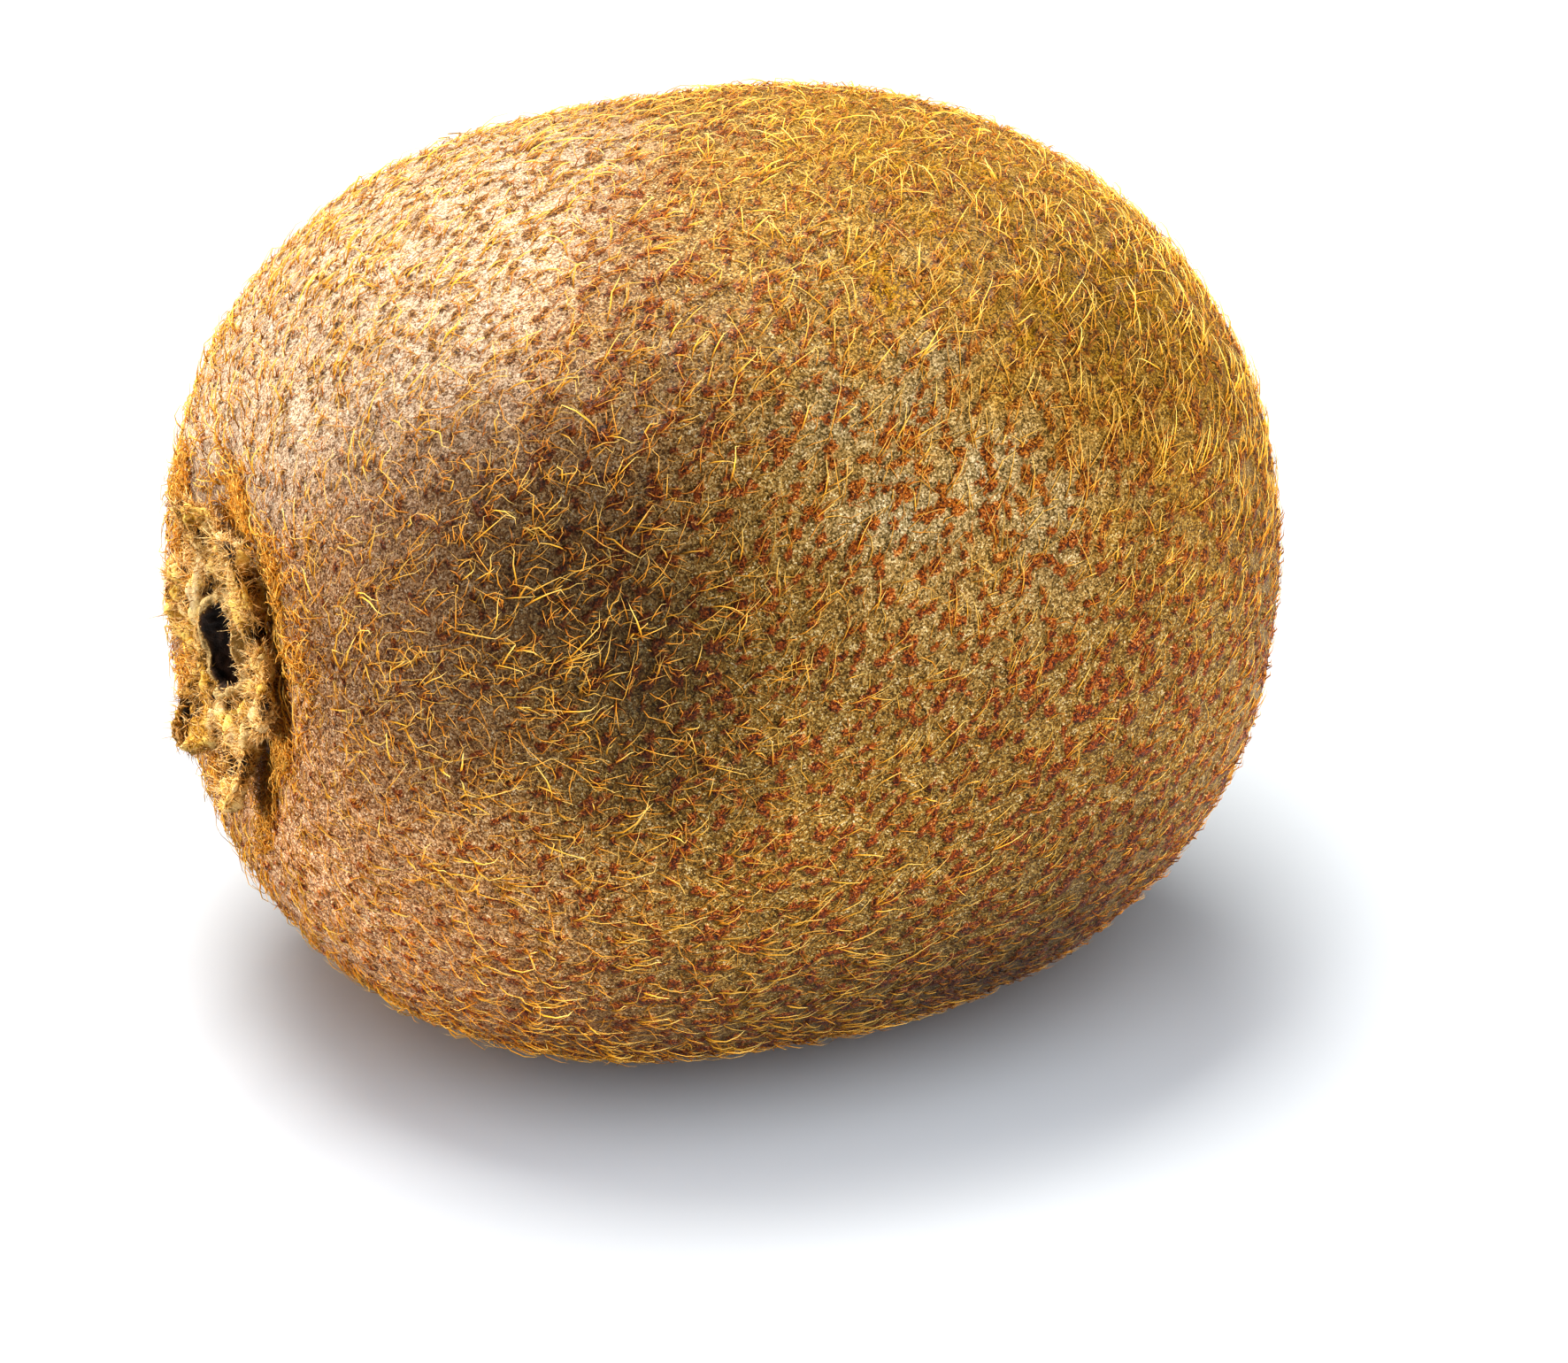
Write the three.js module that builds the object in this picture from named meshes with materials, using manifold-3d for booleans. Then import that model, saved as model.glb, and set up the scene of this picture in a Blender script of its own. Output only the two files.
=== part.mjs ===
// A whole green kiwifruit lying on its side, in millimetres, +Z up.
// Its long axis runs along X: the stem end, with the dried calyx, faces -X and the blossom end faces +X.
// The fruit itself is one solid. The dried calyx, the woody scar of the stem and the dried styles are
// separate organs that stay on the picked fruit, so each is a solid of its own.
import * as THREE from "three";
import { mergeVertices } from "three/addons/utils/BufferGeometryUtils.js";
import Module from "manifold-3d";

// Driving dimensions of the fruit
const LENGTH = 62.5; // from face to face, before the basins are pressed in
const WIDTH = 55.6; // across, level with the table
const HEIGHT = 53.4; // up and down, before the resting spot
const STEM_BLUNTNESS = 2.5; // exponent of the lengthwise curve: 2 is an ellipse, more is a barrel
const BLOSSOM_BLUNTNESS = 2.35;
const SECTION_SQUARENESS = 2.15; // the same for the cross-section
const LOBES = 3; // soft lengthwise swellings that make the section a little three-sided
const LOBE_SWELL = 0.012; // as a share of the radius
const LOBE_TURN = 0.1; // radians from +Y to the crest of the first one
const STEM_FACE_LEAN = 0.04; // the stem face leans, its top edge further along +X
const REST_DEPTH = 0.35; // how much the flat resting spot takes off the belly

// The hollows at the two ends: depth, and the radius where the wall is steepest
const STEM_BASIN = { depth: 2.6, radius: 9.0 };
const BLOSSOM_BASIN = { depth: 0.9, radius: 3.8 };

// The calyx: six felted sepals on a ring round the scar
const SEPALS = 6;
const SEPAL_ROOT = 3.9; // distance of the root from the long axis
const SEPAL_LENGTH = 5.0;
const SEPAL_HALF_WIDTH = 3.3;
const SEPAL_HALF_THICKNESS = 0.55;
const SEPAL_FOLD = 0.2; // height of its lengthwise wrinkles
const CALYX_RING = { radius: 4.5, half: 0.78 };

// The scar of the stem: a cup of wood with an uneven lip
const SCAR = { radius: 3.1, lip: 2.1, pit: 0.8 };

// The dried styles: stiff bristles that lean out from a small woody button
const STYLES = 22;
const STYLE_LENGTH = 3.4;
const STYLE_HALF_THICKNESS = 0.26;
const BUTTON = { radius: 2.3, height: 1.0 };

const GAP = 0.35; // clearance between an organ and the skin that it sits on
const TURN = 2 * Math.PI;

// Counts of the grids
const FRUIT_ROWS = 52;
const FRUIT_COLUMNS = 52;
const SEPAL_ROWS = 11;
const SEPAL_SIDES = 16;
const RING_COLUMNS = 36;
const RING_SIDES = 8;
const STYLE_ROWS = 4;
const STYLE_SIDES = 4;

const wasm = await Module();
wasm.setup();

// A repeatable run of numbers from 0 to 1.
function seeded(seed) {
  let state = seed;
  return () => {
    state = (state * 1664525 + 1013904223) % 4294967296;
    return state / 4294967296;
  };
}

// A value that varies evenly from low to high with the share.
const between = (share, low, high) => low + share * (high - low);

// How far out the cross-section stands at an angle, where 1 is an ellipse.
function sectionSwell(angle) {
  const square =
    Math.abs(Math.cos(angle)) ** SECTION_SQUARENESS +
    Math.abs(Math.sin(angle)) ** SECTION_SQUARENESS;
  const lobes = 1 + LOBE_SWELL * Math.cos(LOBES * (angle - LOBE_TURN));
  return lobes * square ** (-1 / SECTION_SQUARENESS);
}

// How deep a basin is at a distance from the long axis: a flat floor with a soft lip.
const basinDepth = (basin, distance) =>
  basin.depth * Math.exp(-((distance / basin.radius) ** 4));

// The skin's x over a point (y, z), on the stem face (end = -1) or the blossom face (end = 1).
function faceX(end, y, z) {
  const across = y / (WIDTH / 2);
  const up = z / (HEIGHT / 2);
  const share = Math.min(
    1,
    Math.hypot(across, up) / sectionSwell(Math.atan2(up, across)),
  );
  const bluntness = end < 0 ? STEM_BLUNTNESS : BLOSSOM_BLUNTNESS;
  const reach = (1 - share ** bluntness) ** (1 / bluntness);
  const lean = end < 0 ? STEM_FACE_LEAN * z * reach ** 2 : 0;
  const basin = end < 0 ? STEM_BASIN : BLOSSOM_BASIN;
  return (
    end * (reach * (LENGTH / 2) - basinDepth(basin, Math.hypot(y, z))) + lean
  );
}

// A point that stands a given height off the skin, outwards along the long axis.
const offFace = (end, y, z, height) =>
  new THREE.Vector3(faceX(end, y, z) + end * height, y, z);

// A closed geometry from rings of points, all with the same count. A ring whose points meet is a pole,
// and a loop of rings closes on itself.
function skinOver(rings, loop = false) {
  const sides = rings[0].length;
  const positions = rings.flat().flatMap((p) => [p.x, p.y, p.z]);
  const index = [];
  const strips = loop ? rings.length : rings.length - 1;
  for (let i = 0; i < strips; i++) {
    const next = (i + 1) % rings.length;
    for (let j = 0; j < sides; j++) {
      const k = (j + 1) % sides;
      const [a, b] = [i * sides + j, i * sides + k];
      const [c, d] = [next * sides + j, next * sides + k];
      index.push(a, c, b, b, c, d);
    }
  }
  const geometry = new THREE.BufferGeometry();
  geometry.setAttribute(
    "position",
    new THREE.Float32BufferAttribute(positions, 3),
  );
  geometry.setIndex(index);
  return tidied(geometry);
}

// The geometry with shared vertices merged and the triangles that a pole collapses left out.
function tidied(geometry) {
  const merged = mergeVertices(geometry, 1e-4);
  const old = merged.index.array;
  const kept = [];
  for (let i = 0; i < old.length; i += 3) {
    const [a, b, c] = [old[i], old[i + 1], old[i + 2]];
    if (a !== b && b !== c && c !== a) kept.push(a, b, c);
  }
  merged.setIndex(kept);
  return merged;
}

// A geometry as a manifold-3d solid, with its faces turned outwards.
function solid(geometry) {
  const made = (triVerts) =>
    new wasm.Manifold(
      new wasm.Mesh({
        numProp: 3,
        vertProperties: geometry.attributes.position.array,
        triVerts,
      }),
    );
  const triangles = Uint32Array.from(geometry.index.array);
  const first = made(triangles);
  return first.volume() > 0 ? first : made(triangles.reverse());
}

// A manifold-3d solid as a geometry again.
function geometryOf(body) {
  const mesh = body.getMesh();
  const geometry = new THREE.BufferGeometry();
  geometry.setAttribute(
    "position",
    new THREE.BufferAttribute(new Float32Array(mesh.vertProperties), 3),
  );
  geometry.setIndex(new THREE.BufferAttribute(new Uint32Array(mesh.triVerts), 1));
  geometry.computeVertexNormals();
  return geometry;
}

const joined = (geometries) =>
  geometryOf(geometries.map(solid).reduce((sum, part) => sum.add(part)));

// The whole fruit: rings of skin from the blossom pole to the stem pole, each ring a lobed
// squircle, and each end a blunt superellipse with its basin. The belly is pressed flat where it lies.
function fruitGeometry() {
  const rings = [];
  for (let i = 0; i <= FRUIT_ROWS; i++) {
    const along = (Math.PI * i) / FRUIT_ROWS;
    const end = Math.cos(along) < 0 ? -1 : 1;
    const bluntness = end < 0 ? STEM_BLUNTNESS : BLOSSOM_BLUNTNESS;
    const cosine = Math.abs(Math.cos(along));
    const share =
      Math.sin(along) *
      (cosine ** bluntness + Math.sin(along) ** bluntness) ** (-1 / bluntness);
    const ring = [];
    for (let j = 0; j < FRUIT_COLUMNS; j++) {
      const angle = (TURN * j) / FRUIT_COLUMNS;
      const swell = i % FRUIT_ROWS === 0 ? 0 : share * sectionSwell(angle);
      const y = (WIDTH / 2) * swell * Math.cos(angle);
      const z = (HEIGHT / 2) * swell * Math.sin(angle);
      ring.push(offFace(end, y, z, 0));
    }
    rings.push(ring);
  }
  const table = Math.min(...rings.flat().map((p) => p.z)) + REST_DEPTH;
  for (const p of rings.flat()) p.z = Math.max(p.z, table);
  return geometryOf(solid(skinOver(rings)));
}

// One dried sepal: a flat tongue, widest before its middle, wrinkled along its length, that lies on
// the basin's floor and lifts at its tip. Its faces share the wrinkles, so it keeps its thickness.
function sepalGeometry({ angle, length, width, lift, cup, sway, fold }) {
  const out = new THREE.Vector2(Math.cos(angle), Math.sin(angle));
  const side = new THREE.Vector2(-out.y, out.x);
  const rings = [];
  for (let i = 0; i <= SEPAL_ROWS; i++) {
    const s = i / SEPAL_ROWS;
    const atEnd = i % SEPAL_ROWS === 0;
    const half = width * Math.sin(Math.PI * (0.2 + 0.8 * s)) ** 0.55;
    const thick =
      SEPAL_HALF_THICKNESS * (1 - 0.2 * s) * Math.sqrt(1 - s ** 8);
    const ring = [];
    for (let j = 0; j < SEPAL_SIDES; j++) {
      const t = (TURN * j) / SEPAL_SIDES;
      const across = atEnd ? 0 : Math.cos(t);
      const rise = atEnd ? 0 : thick * Math.sin(t);
      const wrinkle = SEPAL_FOLD * Math.cos(2.6 * Math.PI * across + fold);
      const height =
        GAP + SEPAL_HALF_THICKNESS + SEPAL_FOLD + rise + wrinkle +
        lift * s ** 2 + cup * across ** 2;
      const far = SEPAL_ROOT + length * s;
      const off = half * across + sway * s ** 2;
      ring.push(
        offFace(-1, out.x * far + side.x * off, out.y * far + side.y * off, height),
      );
    }
    rings.push(ring);
  }
  return skinOver(rings);
}

// A ring of round section that lies on the basin's floor and carries the sepals.
function calyxRingGeometry() {
  const rings = [];
  for (let i = 0; i < RING_COLUMNS; i++) {
    const angle = (TURN * i) / RING_COLUMNS;
    const ring = [];
    for (let j = 0; j < RING_SIDES; j++) {
      const t = (TURN * j) / RING_SIDES;
      const far = CALYX_RING.radius + CALYX_RING.half * Math.cos(t);
      const height = GAP + CALYX_RING.half * (1 + Math.sin(t));
      ring.push(
        offFace(-1, far * Math.cos(angle), far * Math.sin(angle), height),
      );
    }
    rings.push(ring);
  }
  return skinOver(rings, true);
}

// The calyx: the ring with its sepals, each of a slightly different cut and lift, fused in one body.
function calyxGeometry() {
  const draw = seeded(11);
  const sepals = [];
  for (let i = 0; i < SEPALS; i++) {
    sepals.push(
      sepalGeometry({
        angle: TURN * ((i + between(draw(), -0.07, 0.07)) / SEPALS),
        length: SEPAL_LENGTH * between(draw(), 0.9, 1.06),
        width: SEPAL_HALF_WIDTH * between(draw(), 0.85, 1.05),
        lift: between(draw(), -0.1, 0.9),
        cup: between(draw(), 0, 0.5),
        sway: between(draw(), -1.1, 1.1),
        fold: TURN * draw(),
      }),
    );
  }
  return joined([calyxRingGeometry(), ...sepals]);
}

// The scar that the stem left: a shallow wooden cup, its lip uneven and its pit rough-floored.
function scarGeometry() {
  const { radius, lip, pit } = SCAR;
  const profile = [
    [0, GAP],
    [0.9, GAP],
    [1, GAP + 0.5],
    [1, lip - 0.5],
    [0.93, lip],
    [0.8, lip - 0.15],
    [0.72, lip - 0.8],
    [0.45, pit + 0.2],
    [0, pit],
  ];
  const rings = profile.map(([share, height]) =>
    Array.from({ length: RING_COLUMNS }, (_, j) => {
      const angle = (TURN * j) / RING_COLUMNS;
      const uneven = 0.5 * Math.sin(3 * angle + 1) + 0.5 * Math.sin(5 * angle);
      const far = share * radius * (1 - 0.05 * (1 + uneven));
      const raised = height > 1.5 ? height + 0.35 * uneven : height;
      return offFace(-1, far * Math.cos(angle), far * Math.sin(angle), raised);
    }),
  );
  return geometryOf(solid(skinOver(rings)));
}

// The woody button that the styles stand on: a low dome.
function buttonGeometry() {
  const { radius, height } = BUTTON;
  const profile = [
    [0, 0],
    [0.9, 0],
    [1, 0.35],
    [0.8, 0.85],
    [0.4, 0.95],
    [0, 0.7],
  ];
  const rings = profile.map(([share, rise]) =>
    Array.from({ length: RING_COLUMNS / 2 }, (_, j) => {
      const angle = (2 * TURN * j) / RING_COLUMNS;
      const [y, z] = [Math.cos(angle), Math.sin(angle)];
      return offFace(
        1,
        share * radius * y,
        share * radius * z,
        GAP + rise * height,
      );
    }),
  );
  return skinOver(rings);
}

// One dried style: a stiff tapering bristle that rises from the button and droops outwards.
function styleGeometry({ angle, root, length, bend }) {
  const rings = [];
  for (let i = 0; i <= STYLE_ROWS; i++) {
    const s = i / STYLE_ROWS;
    const half = STYLE_HALF_THICKNESS * (1 - 0.45 * s);
    const far = root + length * Math.sin(1.1 * s);
    const height = GAP + 0.5 * BUTTON.height + 1.3 * Math.sin(2 * s);
    const turned = angle + bend * s;
    const [y, z] = [Math.cos(turned), Math.sin(turned)];
    const atEnd = i === 0 || i === STYLE_ROWS;
    const ring = [];
    for (let j = 0; j < STYLE_SIDES; j++) {
      const t = (TURN * (j + 0.5)) / STYLE_SIDES;
      const [off, rise] = atEnd
        ? [0, 0]
        : [half * Math.cos(t), half * Math.sin(t)];
      ring.push(
        offFace(1, far * y - off * z, far * z + off * y, height + rise),
      );
    }
    rings.push(ring);
  }
  return skinOver(rings);
}

// The tuft of dried styles on their button, fused in one body.
function styleTuftGeometry() {
  const draw = seeded(5);
  const styles = [];
  for (let i = 0; i < STYLES; i++) {
    styles.push(
      styleGeometry({
        angle: (TURN * (i + between(draw(), -0.25, 0.25))) / STYLES,
        root: between(i % 2, 0.9, 1.4),
        length: STYLE_LENGTH * between(draw(), 0.55, 0.85),
        bend: between(draw(), -0.35, 0.35),
      }),
    );
  }
  return joined([buttonGeometry(), ...styles]);
}

function organ(name, geometry, color, roughness) {
  const material = new THREE.MeshStandardMaterial({
    color,
    roughness,
    metalness: 0,
  });
  const mesh = new THREE.Mesh(geometry, material);
  mesh.name = name;
  return mesh;
}

// The kiwifruit, moved so that the middle of its underside is the origin.
const kiwifruit = new THREE.Group();
kiwifruit.add(
  organ("fruit", fruitGeometry(), 0x8f6a36, 0.85),
  organ("calyx", calyxGeometry(), 0xb59a5c, 0.95),
  organ("stem_scar", scarGeometry(), 0x4a3422, 0.9),
  organ("style_tuft", styleTuftGeometry(), 0x3a2718, 0.8),
);
const box = new THREE.Box3().setFromObject(kiwifruit);
const middle = box.getCenter(new THREE.Vector3());
kiwifruit.position.set(-middle.x, -middle.y, -box.min.z);

const part = new THREE.Group();
part.add(kiwifruit);
export default part;
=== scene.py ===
# A whole green kiwifruit lying on its side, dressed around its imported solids.
# Shapes are worked out in millimetres from the middle of the fruit and put into the frame in metres.
import itertools
import math

import bpy
import numpy as np
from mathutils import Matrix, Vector


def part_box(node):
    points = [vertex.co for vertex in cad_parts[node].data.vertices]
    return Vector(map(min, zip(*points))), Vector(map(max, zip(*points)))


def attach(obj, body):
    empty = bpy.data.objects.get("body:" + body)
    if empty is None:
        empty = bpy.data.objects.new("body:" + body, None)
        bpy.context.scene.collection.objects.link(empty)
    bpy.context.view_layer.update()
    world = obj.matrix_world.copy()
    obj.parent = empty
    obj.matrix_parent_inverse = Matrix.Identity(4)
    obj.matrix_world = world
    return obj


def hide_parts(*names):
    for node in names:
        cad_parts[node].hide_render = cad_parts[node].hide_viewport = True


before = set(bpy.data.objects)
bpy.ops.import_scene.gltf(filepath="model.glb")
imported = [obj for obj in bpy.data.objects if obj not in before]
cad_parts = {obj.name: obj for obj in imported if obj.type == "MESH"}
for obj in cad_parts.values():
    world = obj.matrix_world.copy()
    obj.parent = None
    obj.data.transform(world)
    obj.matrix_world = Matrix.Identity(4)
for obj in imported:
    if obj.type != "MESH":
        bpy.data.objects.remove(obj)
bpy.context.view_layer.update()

# The fruit: one berry with a thin, tough skin. It is a blunt barrel, a little three-sided, with a hollow
# at the stem end, a dimple at the blossom end and a small flat where it lies. Its skin is a fine
# mosaic of dead cork cells over green flesh, with a low crust of matted hairs on each pore.
LENGTH = 62.5
WIDTH = 55.6
HEIGHT = 53.4
STEM_BLUNTNESS = 2.5
BLOSSOM_BLUNTNESS = 2.35
SECTION_SQUARENESS = 2.15
LOBES = 3
LOBE_SWELL = 0.012
LOBE_TURN = 0.1
STEM_FACE_LEAN = 0.04
STEM_BASIN = (2.6, 9.0)
BLOSSOM_BASIN = (0.9, 3.8)
SKIN_GRID = 126
TUFTS = 9000
TUFT_HALF_LENGTH = (0.34, 0.74)
TUFT_HALF_WIDTH = (0.24, 0.44)
TUFT_HEIGHT = 0.2
# Painted light and shade: areas painted paler where the lamps light the fruit more, and darker where it lies
# in shade on its front, underneath and in the stem's basin: the place in millimetres, its reach and its
# change of tone.
PAINTED_LIGHT_AND_SHADE = [
    ((-21, -18, 13), 9, -0.65),
    ((-14, -25, 7), 6.8, -0.62),
    ((-13, -21.5, 16.5), 6, -0.3),
    ((-25, -19, 2), 7, -0.42),
    ((-15, -26, -1), 5, -0.42),
    ((-16, -22.5, -8), 7.5, 0.28),
    ((-29, -9, -8), 9.5, 0.95),
    ((-22, -14, -16), 8, 0.4),
    ((-29, 0, 0), 7, -0.6),
    ((-27, -4, 14), 7, -0.1),
    ((-5, -26, -7), 7, 0.3),
    ((-5, -20, -18), 9, -0.4),
    ((10, -20, -19), 9.5, -0.75),
    ((20, -20, -4), 7, 0.15),
    ((2, -25, 13), 8, 0.2),
    ((16, -19, 18), 7, -0.2),
    ((14, -13, 20), 8, -0.3),
    ((26, -14, 8), 8, -0.3),
]
# The middle and reach of a painted sheen: a paler, grey-green patch on the front of the fruit.
PAINTED_SHEEN_MIDDLE = (4.5, -23, 16.5)
PAINTED_SHEEN_REACH = 8.5
STEM = -1
BLOSSOM = 1
TURN = 2 * math.pi


def section_swell(angle):
    """How far the cross-section stands out at an angle: a squircle, one over the root of the sum of the
    powers of cosine and sine, times a slow three-lobed wave."""
    square = np.abs(np.cos(angle)) ** SECTION_SQUARENESS + np.abs(np.sin(angle)) ** SECTION_SQUARENESS
    return (1 + LOBE_SWELL * np.cos(LOBES * (angle - LOBE_TURN))) * square ** (-1 / SECTION_SQUARENESS)


def face_x(end, y, z):
    """x of the skin over a point (y, z) on one end: half the length times the superellipse's reach, less
    the basin, a depth that falls off as the exponential of the fourth power of the distance. The
    stem end leans too, by a share of the height times the reach squared."""
    across, up = y / (WIDTH / 2), z / (HEIGHT / 2)
    share = np.minimum(1, np.hypot(across, up) / section_swell(np.arctan2(up, across)))
    bluntness = np.where(end < 0, STEM_BLUNTNESS, BLOSSOM_BLUNTNESS)
    reach = (1 - share**bluntness) ** (1 / bluntness)
    depth, radius = [np.where(end < 0, s, b) for s, b in zip(STEM_BASIN, BLOSSOM_BASIN)]
    basin = depth * np.exp(-((np.hypot(y, z) / radius) ** 4))
    return end * (reach * LENGTH / 2 - basin) + np.where(end < 0, STEM_FACE_LEAN * z * reach**2, 0)


def skin_points(ways):
    """Points of the skin in directions from the middle: the cosine and sine from the long axis are
    scaled onto a superellipse, the sine by the section's swell too, and x follows from face_x."""
    slant = np.hypot(ways[:, 1], ways[:, 2])
    end = np.where(ways[:, 0] < 0, STEM, BLOSSOM)
    bluntness = np.where(end < 0, STEM_BLUNTNESS, BLOSSOM_BLUNTNESS)
    share = slant * (np.abs(ways[:, 0]) ** bluntness + slant**bluntness) ** (-1 / bluntness)
    turned = np.arctan2(ways[:, 2], ways[:, 1])
    swell = share * section_swell(turned)
    y = WIDTH / 2 * swell * np.cos(turned)
    z = HEIGHT / 2 * swell * np.sin(turned)
    return np.stack([face_x(end, y, z), y, z], axis=1)


def ways_to(points):
    """Directions whose points of the skin lie under the given ones: each coordinate over half its
    size, and y and z over the section's swell too."""
    ways = points / [LENGTH / 2, WIDTH / 2, HEIGHT / 2]
    ways[:, 1:] /= section_swell(np.arctan2(ways[:, 2], ways[:, 1]))[:, None]
    return unit(ways)


def even_ways(count, jitter, draw):
    """Directions spread evenly on a sphere: equal steps in x, turned by the golden angle each time,
    then shifted at random by a share of their spacing."""
    step = np.arange(count) + 0.5
    x = 1 - 2 * step / count
    turned = step * TURN / ((1 + 5**0.5) / 2)
    ring = np.sqrt(1 - x * x)
    ways = np.stack([x, ring * np.cos(turned), ring * np.sin(turned)], axis=1)
    return unit(ways + draw.normal(size=ways.shape) * jitter * math.sqrt(4 * math.pi / count))


def unit(vectors):
    """Each vector over its own length."""
    return vectors / np.linalg.norm(vectors, axis=-1, keepdims=True)


def skin_normals(ways):
    """Normals of the skin: the cross product of two short steps taken over it at right angles."""
    side = unit(np.cross(ways, np.where(np.abs(ways[:, :1]) > 0.9, [[0.0, 0, 1]], [[1.0, 0, 0]])))
    other = np.cross(ways, side)
    step = 0.01
    first = skin_points(unit(ways + step * side)) - skin_points(unit(ways - step * side))
    second = skin_points(unit(ways + step * other)) - skin_points(unit(ways - step * other))
    normals = unit(np.cross(first, second))
    return normals * np.sign(np.sum(normals * ways, axis=1, keepdims=True))


def cube_sphere(count):
    """Directions and faces of a sphere made from a cube: each side is a grid whose lines are evenly
    turned, the tangent of equal angles, and points that two sides share are welded."""
    line = np.tan(np.linspace(-math.pi / 4, math.pi / 4, count + 1))
    u, v = np.meshgrid(line, line, indexing="ij")
    one = np.ones_like(u)
    sides = [(one, u, v), (-one, v, u), (v, one, u), (u, -one, v), (u, v, one), (v, u, -one)]
    ways = unit(np.stack([np.stack(side, axis=-1) for side in sides]).reshape(-1, 3))
    corner = np.arange(count)[:, None] * (count + 1) + np.arange(count)[None, :]
    quads = np.stack([corner, corner + count + 1, corner + count + 2, corner + 1], axis=-1).reshape(-1, 4)
    quads = np.concatenate([quads + i * (count + 1) ** 2 for i in range(6)])
    _, first, again = np.unique(np.round(ways, 6), axis=0, return_index=True, return_inverse=True)
    return ways[first], again.reshape(-1)[quads]


def noise(points, size, seed):
    """Smooth value noise from -1 to 1: random values at the corners of cubes of that size, blended
    across each cube by the smooth step of the place in it."""
    place = points / size + 500
    cell = np.floor(place).astype(np.int64)
    share = place - cell
    share = share * share * (3 - 2 * share)
    total = np.zeros(len(points))
    for corner in itertools.product((0, 1), repeat=3):
        mixed = (cell + corner) @ np.array([374761393, 668265263, 1442695041]) + seed * 1274126177
        mixed = (mixed ^ (mixed >> 13)) * 1103515245
        mixed = (mixed ^ (mixed >> 16)) & 0xFFFFFF
        weight = np.prod(np.where(corner, share, 1 - share), axis=1)
        total += weight * (mixed / 0x7FFFFF - 1)
    return total


def swells(points):
    """How far the skin rises and sinks in waves of 6, 2 and 1 mm."""
    return 0.09 * noise(points, 6, 1) + 0.05 * noise(points, 2.2, 2) + 0.03 * noise(points, 0.9, 3)


def painted_shading(points, top=HEIGHT):
    """How pale the painted light and shade make the fruit at each point: one plus each painted area that
    lies below the top, which fades as the exponential of the squared distance from its middle over its
    reach."""
    painted_light_and_tone = np.ones(len(points))
    for place, reach, change in PAINTED_LIGHT_AND_SHADE:
        if place[2] < top:
            painted_light_and_tone += change * np.exp(-np.sum((points - place) ** 2, axis=1) / reach**2)
    return painted_light_and_tone


def tan_share(points):
    """How tan the skin is: one at the stem end, falling off along the fruit to nothing past its middle,
    sooner in front than above, below and behind, with a ragged edge."""
    slope = -points[:, 0] + 0.4 * np.abs(points[:, 2]) + 0.4 * points[:, 1] + 3 * noise(points, 7, 9)
    share = np.clip((slope - 3.5) / 20, 0, 1)
    return share * share * (3 - 2 * share)


def golden_share(points):
    """How golden the coat is: it grows from nothing at the stem and low down to one on the upper side of
    the blossom end, and reaches lower near that end."""
    rise = points[:, 2] + 0.35 * np.maximum(points[:, 0] - 10, 0)
    return np.clip((points[:, 0] + 9) / 14, 0, 1) * np.clip((rise - 4) / 18, 0, 1)


def comb_ways(points, normals):
    """The way that the hairs lie: from the stem towards the blossom end, turned round the fruit from
    its underside over its front to its back, by 55 degrees, less underneath, near the stem, and least
    on top of the stem's half."""
    round_way = unit(np.cross(np.broadcast_to([-1.0, 0, 0], points.shape), points * [0, 1, 1] + 1e-6))
    rise = np.clip((points[:, 2] / (HEIGHT / 2) + 1) * 1.2, 0, 1)
    slant = math.radians(55) * rise * np.clip(0.98 + points[:, 0] / 32, 0.3, 1.1)
    slant *= 1 - 0.25 * np.clip((points[:, 2] - 8) / 15, 0, 1) * np.clip(0.5 - points[:, 0] / 16, 0, 1)
    way = np.cos(slant)[:, None] * [1.0, 0, 0] + np.sin(slant)[:, None] * round_way
    way = way - normals * np.sum(way * normals, axis=1, keepdims=True)
    return unit(way)


def new_piece(name, points, faces, smooth=True):
    """A piece from points in millimetres and faces of three or four corners."""
    mesh = bpy.data.meshes.new(name)
    sides = faces.shape[1]
    mesh.vertices.add(len(points))
    mesh.vertices.foreach_set("co", ((points + SHIFT) * 0.001).astype(np.float32).ravel())
    mesh.loops.add(faces.size)
    mesh.loops.foreach_set("vertex_index", faces.astype(np.int32).ravel())
    mesh.polygons.add(len(faces))
    mesh.polygons.foreach_set("loop_start", np.arange(0, faces.size, sides, dtype=np.int32))
    mesh.polygons.foreach_set("use_smooth", np.full(len(faces), smooth))
    mesh.update(calc_edges=True)
    mesh.validate()
    piece = bpy.data.objects.new(name, mesh)
    bpy.context.collection.objects.link(piece)
    return piece


def mark(piece, name, values):
    """Stores one number for each vertex, for a material to read."""
    piece.data.attributes.new(name, "FLOAT", "POINT").data.foreach_set("value", values.astype(np.float32))


def tint(code):
    """The linear colour, with alpha, of an sRGB hex code."""
    shares = [int(code[i : i + 2], 16) / 255 for i in (1, 3, 5)]
    return tuple(c / 12.92 if c <= 0.04045 else ((c + 0.055) / 1.055) ** 2.4 for c in shares) + (1.0,)


def new_material(name):
    """A node material that holds only its Principled shader and output."""
    material = bpy.data.materials.new(name)
    material.use_nodes = True
    return material, material.node_tree.nodes["Principled BSDF"]


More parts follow.
